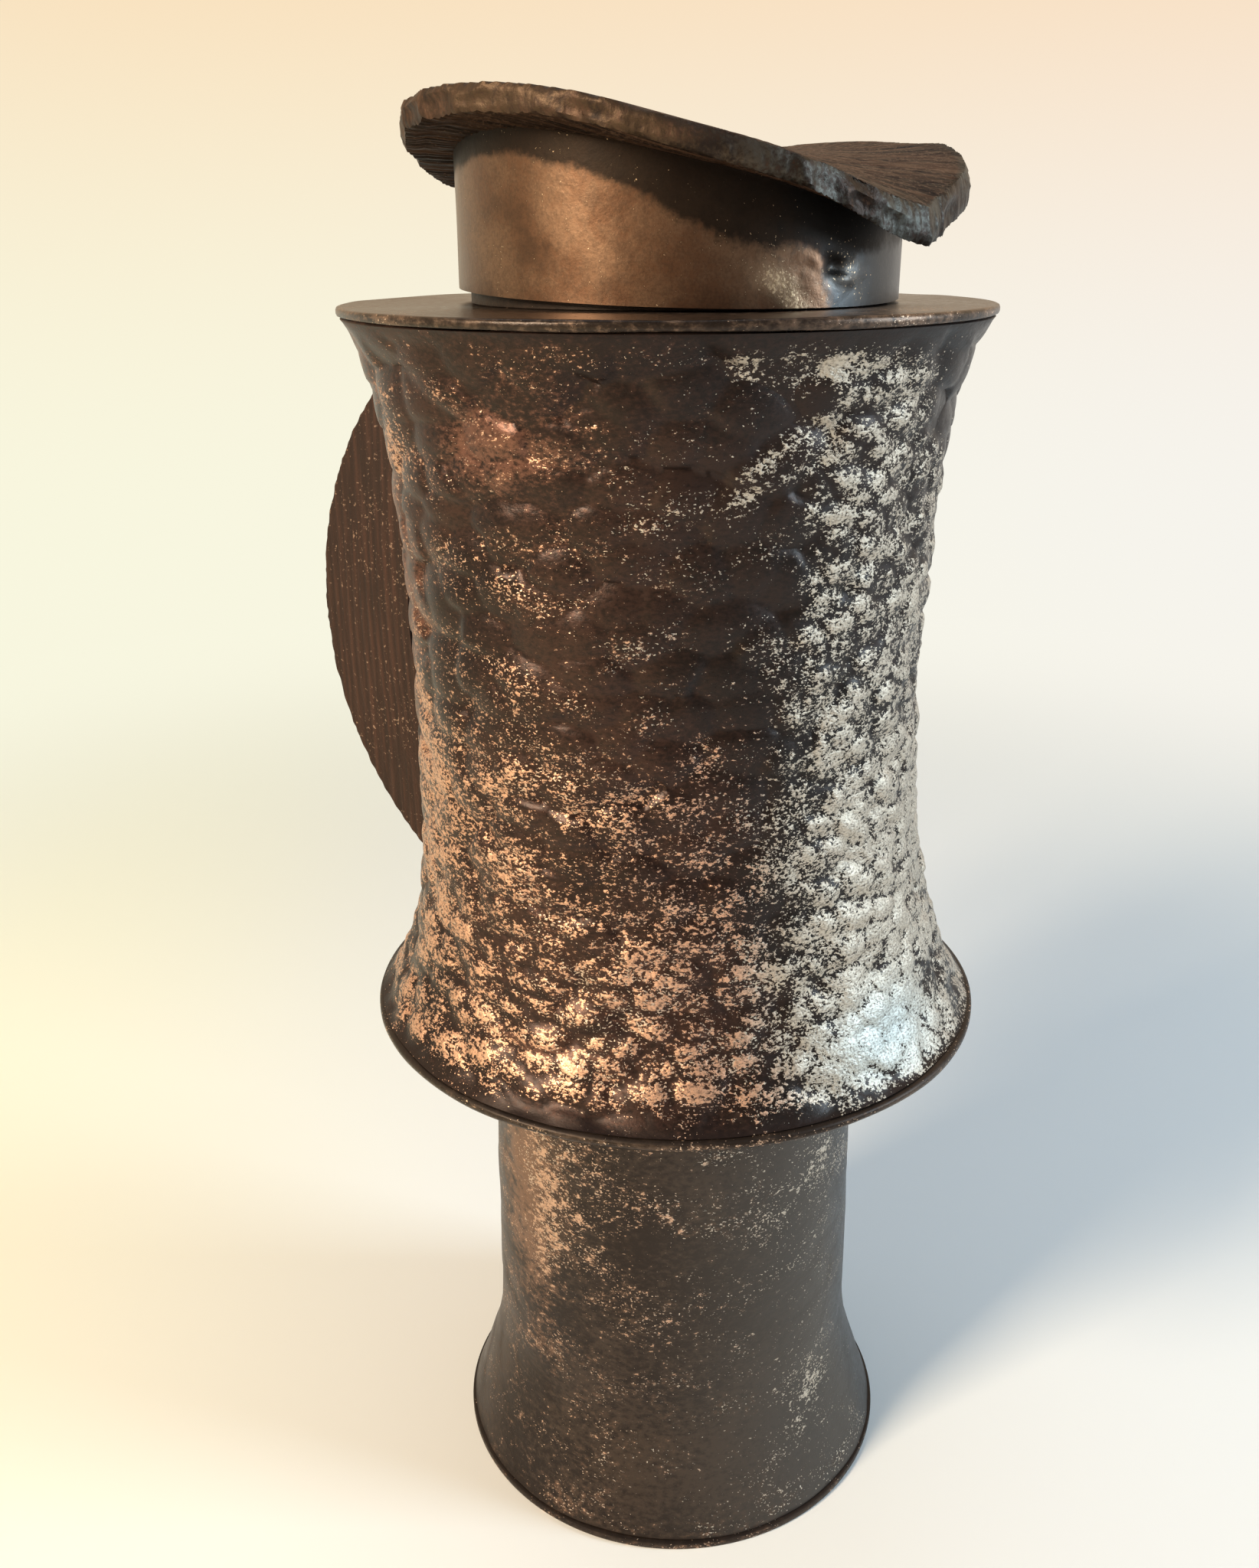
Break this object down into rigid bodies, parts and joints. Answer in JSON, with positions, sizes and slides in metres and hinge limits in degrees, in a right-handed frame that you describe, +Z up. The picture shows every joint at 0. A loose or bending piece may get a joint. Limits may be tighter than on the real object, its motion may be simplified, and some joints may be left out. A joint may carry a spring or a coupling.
{
  "type": "lidded jug",
  "caption": "Hammered bronze jug on a tall trumpet foot, with a waisted body, a crescent side handle and a lift-off lid of twisted ribbed plate.",
  "frame": {"origin": "centre of the base disc's underside, on the jug's axis", "axes": "+Z up along the jug's axis, handle along -X"},
  "size_m": [0.141, 0.1112, 0.2513],
  "materials": {
    "hammered_bronze": "hammered, dark patina worn bright on the high spots",
    "foot_bronze": "dark satin patina with fine worn flecks",
    "disc_bronze": "satin brown patina",
    "skirt_bronze": "smooth mottled bronze with dark heat stains",
    "ribbed_bronze": "dark ribbed plate with a chiselled edge"
  },
  "bodies": {
    "jug": {"foot_base": "disc_bronze", "foot_wall": "foot_bronze", "body_floor": "disc_bronze", "body_wall": "hammered_bronze", "shoulder_plate": "disc_bronze", "neck_collar": "disc_bronze", "handle_plate": "ribbed_bronze"},
    "lid": {"lid_skirt": "skirt_bronze", "lid_plate": "ribbed_bronze"}
  },
  "joints": [
    {"name": "lid_lift", "type": "slide", "parent": "jug", "child": "lid", "axis": [0, 0, 1], "range_m": [0, 0.06]}
  ]
}
